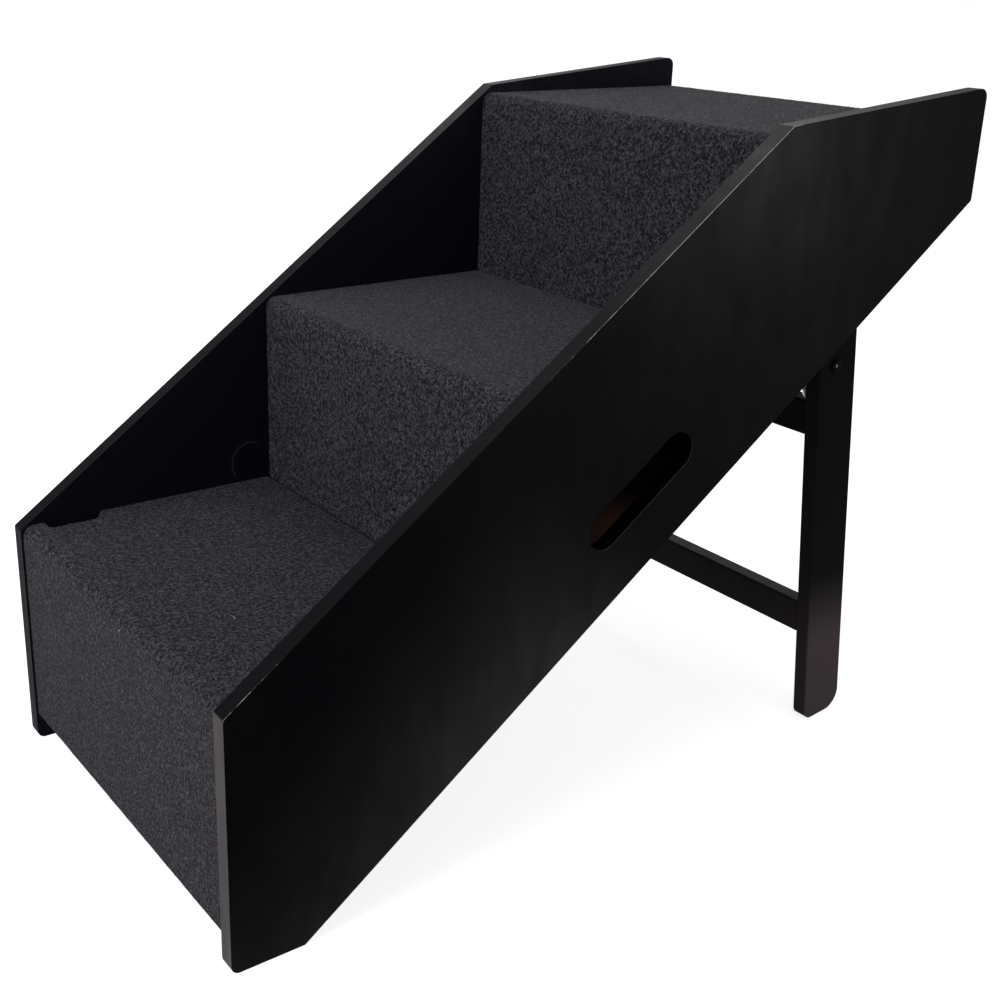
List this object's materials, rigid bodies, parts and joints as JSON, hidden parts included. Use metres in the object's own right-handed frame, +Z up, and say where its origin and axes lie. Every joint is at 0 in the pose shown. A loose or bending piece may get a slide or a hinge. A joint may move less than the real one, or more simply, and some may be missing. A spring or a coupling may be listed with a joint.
{
  "type": "pet stairs",
  "caption": "Folding pet stairs: side panels with handle slots hold carpeted steps, the first tread lifts as a lid over a storage well, and a braced rear leg frame folds up underneath.",
  "frame": {"origin": "middle of the bounding box at floor level", "axes": "+Z up, +X from the lowest step towards the top step, +Y across the steps to the left of a pet walking up"},
  "size_m": [0.743, 0.4, 0.5911],
  "materials": {
    "painted_panel": "black satin paint on fibreboard, rubbed pale along its arrises",
    "painted_leg": "black satin paint on fibreboard",
    "raw_board": "unpainted fibreboard",
    "hardboard": "brown hardboard, smooth",
    "cleat_wood": "planed softwood",
    "carpet": "needle-felt carpet, charcoal with paler flecks",
    "zinc_screw": "yellow zinc",
    "bright_steel": "bright zinc",
    "stay_steel": "bright zinc, rolled flat",
    "insert_brass": "turned",
    "nylon": "natural nylon"
  },
  "bodies": {
    "stair_body": {"side_panel_right": "painted_panel", "side_panel_left": "painted_panel", "riser_1_board": "raw_board", "riser_2_board": "raw_board", "riser_3_board": "raw_board", "tread_2_board": "raw_board", "tread_3_board": "raw_board", "bottom_board": "hardboard", "riser_1_carpet": "carpet", "step_2_carpet": "carpet", "step_3_carpet": "carpet", "riser_1_cleats": "cleat_wood", "riser_2_cleats": "cleat_wood", "riser_3_cleats": "cleat_wood", "lid_rests": "cleat_wood", "tread_2_cleats": "cleat_wood", "tread_3_cleats": "cleat_wood", "bottom_battens": "cleat_wood", "cleat_screws": "zinc_screw", "bottom_screws": "zinc_screw", "lid_pin_bushes": "nylon", "pivot_bolts": "bright_steel", "pivot_inserts": "insert_brass", "pivot_washers": "nylon", "stay_posts": "bright_steel", "stay_post_screws": "bright_steel"},
    "lid": {"lid_board": "raw_board", "lid_carpet": "carpet", "lid_pins": "bright_steel"},
    "leg_frame": {"leg_right": "painted_leg", "leg_left": "painted_leg", "leg_crossbar": "painted_leg", "leg_stretcher": "painted_leg", "frame_dowels": "cleat_wood", "stay_bolts": "bright_steel", "stay_nuts": "bright_steel"},
    "right_stay": {"stay_right": "stay_steel"},
    "left_stay": {"stay_left": "stay_steel"}
  },
  "joints": [
    {"name": "lid_lift", "type": "hinge", "parent": "stair_body", "child": "lid", "pos_m": [-0.1345, 0, 0.2032], "axis": [0, 1, 0], "range_deg": [0, 90]},
    {"name": "leg_fold", "type": "hinge", "parent": "stair_body", "child": "leg_frame", "pos_m": [0.23199, 0, 0.41342], "axis": [0, 1, 0], "range_deg": [0, 60.4]},
    {"name": "right_stay_swing", "type": "hinge", "parent": "stair_body", "child": "right_stay", "pos_m": [0.27661, 0, 0.44572], "axis": [0, 1, 0], "range_deg": [0, 30.2]},
    {"name": "left_stay_swing", "type": "hinge", "parent": "stair_body", "child": "left_stay", "pos_m": [0.27661, 0, 0.44572], "axis": [0, 1, 0], "range_deg": [0, 30.2]}
  ],
  "couplings": [
    {"joint": "right_stay_swing", "follows": "leg_fold", "ratio": 0.5},
    {"joint": "left_stay_swing", "follows": "leg_fold", "ratio": 0.5}
  ]
}
